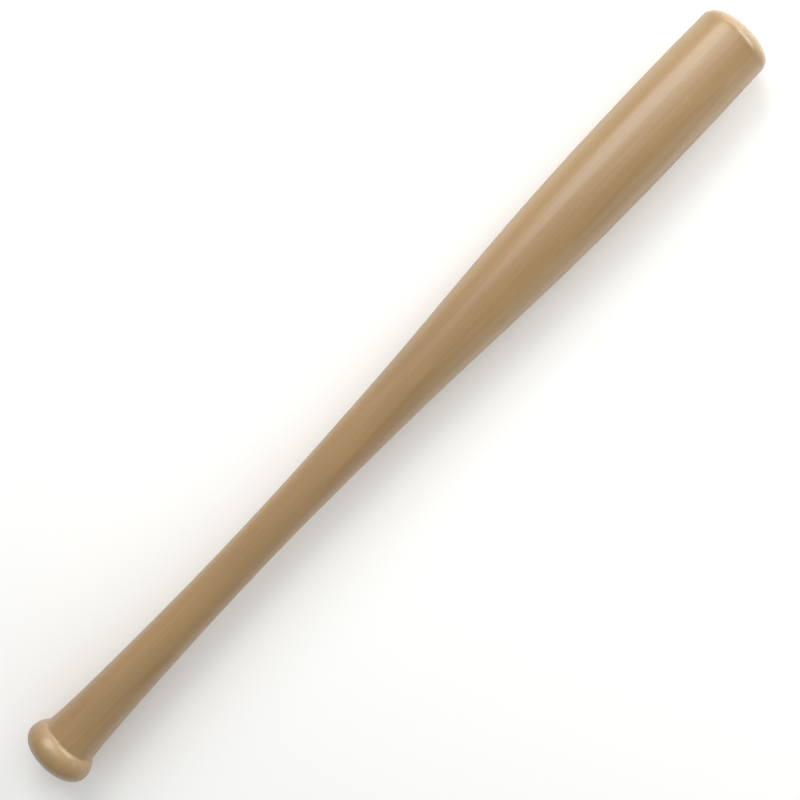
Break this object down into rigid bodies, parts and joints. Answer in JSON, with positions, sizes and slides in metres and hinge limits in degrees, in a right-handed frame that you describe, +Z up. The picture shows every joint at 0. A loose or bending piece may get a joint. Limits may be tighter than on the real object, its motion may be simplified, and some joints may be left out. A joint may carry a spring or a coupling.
{
  "type": "baseball bat",
  "caption": "Plain turned hardwood bat with a rounded knob, a flared handle, a long taper and a domed barrel end, under a clear lacquer film.",
  "frame": {"origin": "centre of the knob's flat end, on the bat's axis", "axes": "+X along the bat's axis from the knob to the barrel end, +Z up with the bat lying down"},
  "size_m": [0.7112, 0.0572, 0.0572],
  "materials": {
    "sanded_hardwood": "turned, sanded pale hardwood",
    "clear_gloss_lacquer": "clear gloss lacquer, faintly amber"
  },
  "bodies": {
    "root": {"turned_wood_body": "sanded_hardwood", "clear_lacquer_film": "clear_gloss_lacquer"}
  },
  "joints": []
}
